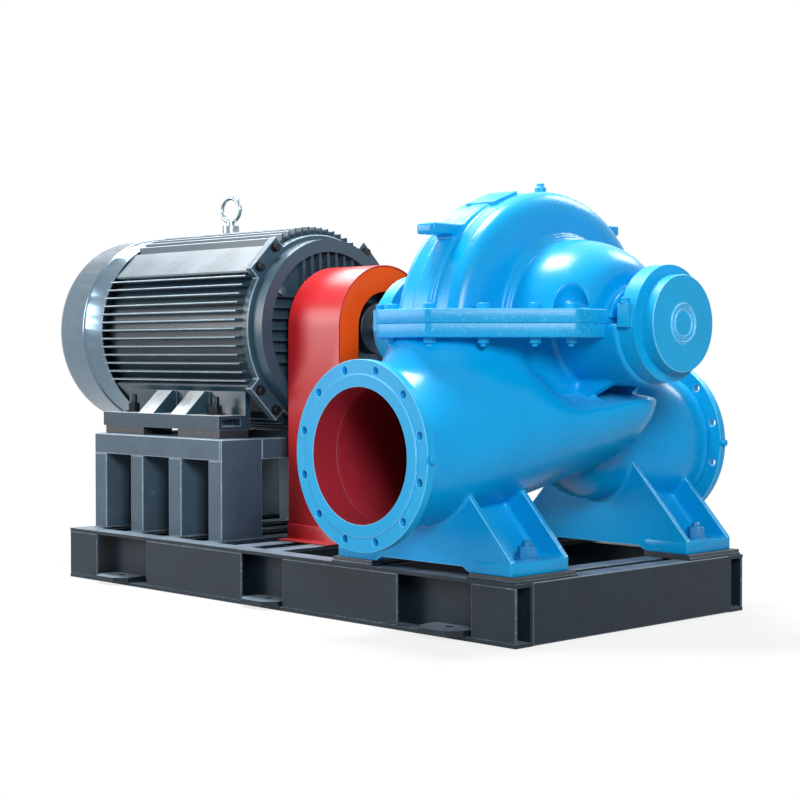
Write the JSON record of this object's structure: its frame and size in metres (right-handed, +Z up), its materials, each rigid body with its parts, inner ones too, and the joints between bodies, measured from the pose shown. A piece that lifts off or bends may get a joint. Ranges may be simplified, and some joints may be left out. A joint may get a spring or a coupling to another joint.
{
  "type": "horizontal split case pump set",
  "caption": "Double suction horizontal split case pump driven by a finned electric motor on a stool, with a coupling guard, on a welded channel base.",
  "frame": {"origin": "middle of the base frame on the ground, at the centre of the four corner anchor holes", "axes": "+X along the shaft towards the free end of the pump, -Y towards the suction nozzle, +Z up"},
  "size_m": [2.461, 1.229, 1.265],
  "materials": {
    "base_paint": "satin black-grey paint on rolled steel channel",
    "pad_steel": "machined steel plate, thinly painted",
    "stool_paint": "satin slate grey paint on rolled steel channel",
    "motor_paint": "semi-gloss slate grey paint on cast iron",
    "fan_cover_sheet": "bright pressed sheet steel",
    "plated_steel": "zinc plated forged steel",
    "turned_steel": "turned steel",
    "coupling_iron": "machined grey iron",
    "guard_red": "gloss red paint on folded sheet steel",
    "pump_blue": "gloss sky blue enamel on cast iron"
  },
  "bodies": {
    "root": {"base_side_rail_front": "base_paint", "base_side_rail_rear": "base_paint", "base_end_beam_pump": "base_paint", "base_end_beam_motor": "base_paint", "base_cross_beams": "base_paint", "base_closing_plates_front": "base_paint", "base_closing_plates_rear": "base_paint", "foundation_lugs_front": "base_paint", "foundation_lugs_rear": "base_paint", "pump_pads": "pad_steel", "motor_shims": "pad_steel", "stool_top_beam_front": "stool_paint", "stool_top_beam_rear": "stool_paint", "stool_posts_front": "stool_paint", "stool_posts_rear": "stool_paint", "stool_cross_beams": "stool_paint", "motor_frame": "motor_paint", "motor_feet": "motor_paint", "motor_drive_end_ring": "motor_paint", "motor_drive_end_shield": "motor_paint", "motor_rear_shield": "motor_paint", "motor_fan_cover": "fan_cover_sheet", "motor_fan_grille": "fan_cover_sheet", "motor_eye_bolt": "plated_steel", "motor_shaft": "turned_steel", "pump_shaft": "turned_steel", "coupling_motor_half": "coupling_iron", "coupling_pump_half": "coupling_iron", "coupling_guard_shell": "guard_red", "coupling_guard_ends": "guard_red", "lower_casing": "pump_blue", "upper_casing": "pump_blue", "pump_legs_front": "pump_blue", "pump_legs_rear": "pump_blue", "nde_bearing_bracket": "pump_blue", "de_bearing_bracket": "pump_blue", "suction_flange": "pump_blue", "discharge_flange": "pump_blue", "nde_bearing_housing": "pump_blue", "de_bearing_housing": "pump_blue", "nde_bearing_cover": "pump_blue", "de_bearing_cover": "pump_blue", "nde_gland": "pump_blue", "de_gland": "pump_blue", "vent_plug": "pump_blue"}
  },
  "joints": []
}
